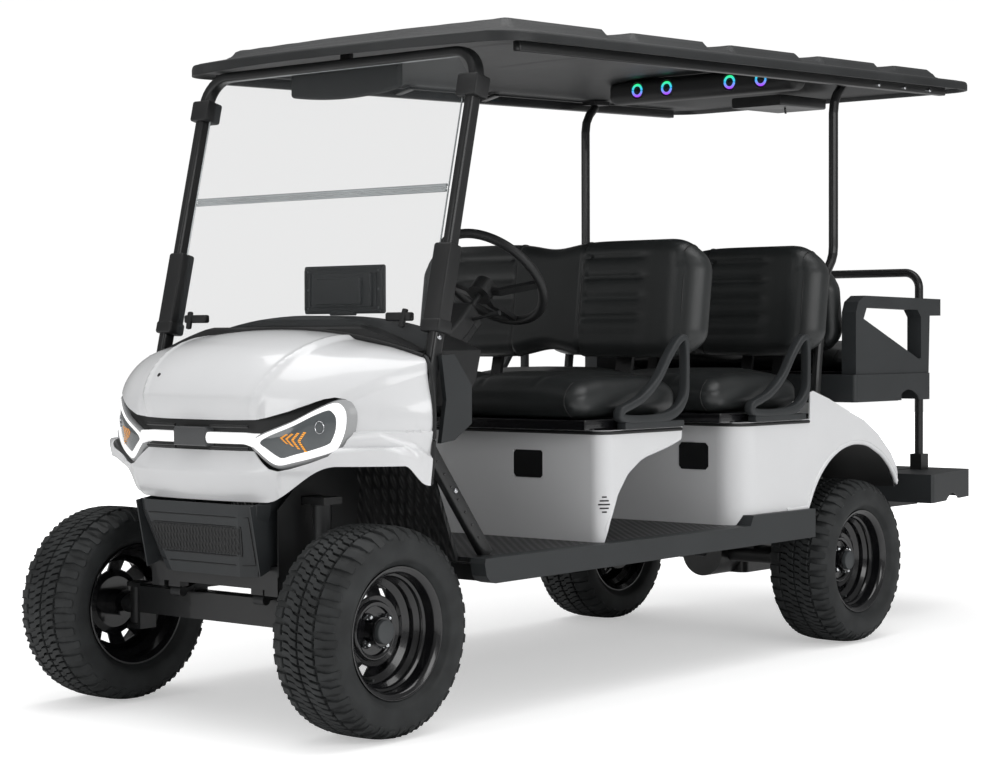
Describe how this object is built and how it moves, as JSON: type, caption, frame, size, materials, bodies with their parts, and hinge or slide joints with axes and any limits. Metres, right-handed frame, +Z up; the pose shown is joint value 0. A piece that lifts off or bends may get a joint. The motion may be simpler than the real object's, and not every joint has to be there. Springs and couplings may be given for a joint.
{
  "type": "golf cart",
  "caption": "Lifted golf cart with two forward benches, a rear-facing bench with a fold-down step and hoop, folding windshield, flat roof on posts and knobbly tyres.",
  "frame": {"origin": "middle of the footprint, on the ground under the middle of the whole vehicle's box", "axes": "+X forward, +Y to the driver's left, +Z up"},
  "size_m": [3.7396, 1.34, 2.0511],
  "materials": {
    "shell_white": "gloss",
    "moulded_grey": "fine grain",
    "trim_black": "fine grain",
    "floor_black": "ribbed",
    "seat_vinyl": "satin",
    "frame_paint": "satin",
    "bare_steel": "satin",
    "case_grey": "satin",
    "rim_paint": "gloss",
    "tyre": "matt",
    "lamp_lens": "gloss",
    "screen": "gloss",
    "wheel_grip": "fine grain",
    "clear_sheet": "clear",
    "roof_grey": "fine grain",
    "mirror": "polished"
  },
  "bodies": {
    "body": {"chassis_frame": "frame_paint", "front_axle": "frame_paint", "rear_axle": "frame_paint", "springs_and_shocks": "bare_steel", "battery_pack": "case_grey", "floor_pan": "floor_black", "rocker_panels": "trim_black", "front_cowl": "shell_white", "front_fascia": "moulded_grey", "lamps": "lamp_lens", "splash_panels": "trim_black", "dash": "trim_black", "display_screen": "screen", "steering_column": "trim_black", "pedals": "trim_black", "windshield_struts": "frame_paint", "windshield": "clear_sheet", "side_cowl_panels": "moulded_grey", "front_seat_pod": "shell_white", "rear_body": "shell_white", "seat_backs": "seat_vinyl", "seat_frames": "frame_paint", "rear_seat_tray": "moulded_grey", "rear_armrests": "moulded_grey", "grab_bar": "frame_paint", "footrest": "moulded_grey", "roof": "roof_grey", "roof_posts": "frame_paint", "sound_bar": "trim_black", "rear_view_mirror": "mirror"},
    "left_knuckle": {"left_knuckle": "bare_steel"},
    "right_knuckle": {"right_knuckle": "bare_steel"},
    "tie_rod": {"tie_rod": "bare_steel"},
    "wheel_front_left": {"rim_front_left": "rim_paint", "tyre_front_left": "tyre"},
    "wheel_front_right": {"rim_front_right": "rim_paint", "tyre_front_right": "tyre"},
    "wheel_rear_left": {"rim_rear_left": "rim_paint", "tyre_rear_left": "tyre"},
    "wheel_rear_right": {"rim_rear_right": "rim_paint", "tyre_rear_right": "tyre"},
    "steering_wheel": {"steering_wheel": "wheel_grip"},
    "front_seat_lid": {"front_seat_bottom": "seat_vinyl"},
    "middle_seat_lid": {"middle_seat_bottom": "seat_vinyl"},
    "rear_seat_lid": {"rear_seat_bottom": "seat_vinyl"}
  },
  "joints": [
    {"name": "left_steer", "type": "hinge", "parent": "body", "child": "left_knuckle", "pos_m": [1.59025, 0.415, 0.2795], "axis": [0, 0, 1], "range_deg": [-25, 25]},
    {"name": "right_steer", "type": "hinge", "parent": "body", "child": "right_knuckle", "pos_m": [1.59025, -0.415, 0.2795], "axis": [0, 0, 1], "range_deg": [-25, 25]},
    {"name": "tie_rod_slide", "type": "slide", "parent": "body", "child": "tie_rod", "axis": [0, 1, 0], "range_m": [-0.05, 0.05]},
    {"name": "steering_wheel_turn", "type": "hinge", "parent": "body", "child": "steering_wheel", "pos_m": [0.82025, 0.28, 1.225], "axis": [-0.7314, 0, 0.682], "range_deg": [-301, 301]},
    {"name": "front_left_spin", "type": "hinge", "parent": "left_knuckle", "child": "wheel_front_left", "pos_m": [1.59025, 0.509, 0.2795], "axis": [0, 1, 0], "continuous": true},
    {"name": "front_right_spin", "type": "hinge", "parent": "right_knuckle", "child": "wheel_front_right", "pos_m": [1.59025, -0.509, 0.2795], "axis": [0, 1, 0], "continuous": true},
    {"name": "rear_left_spin", "type": "hinge", "parent": "body", "child": "wheel_rear_left", "pos_m": [-0.75975, 0.509, 0.2795], "axis": [0, 1, 0], "continuous": true},
    {"name": "rear_right_spin", "type": "hinge", "parent": "body", "child": "wheel_rear_right", "pos_m": [-0.75975, -0.509, 0.2795], "axis": [0, 1, 0], "continuous": true},
    {"name": "front_seat_lift", "type": "hinge", "parent": "body", "child": "front_seat_lid", "pos_m": [0.74225, 0, 0.7755], "axis": [0, 1, 0], "range_deg": [0, 35]},
    {"name": "middle_seat_lift", "type": "hinge", "parent": "body", "child": "middle_seat_lid", "pos_m": [0.04225, 0, 0.7755], "axis": [0, 1, 0], "range_deg": [0, 28]},
    {"name": "rear_seat_flip", "type": "hinge", "parent": "body", "child": "rear_seat_lid", "pos_m": [-1.27775, 0, 0.93], "axis": [0, -1, 0], "range_deg": [0, 180]}
  ],
  "couplings": [
    {"joint": "right_steer", "follows": "left_steer", "ratio": 1},
    {"joint": "tie_rod_slide", "follows": "left_steer", "m_per_rad": -0.11},
    {"joint": "steering_wheel_turn", "follows": "left_steer", "ratio": 12}
  ]
}
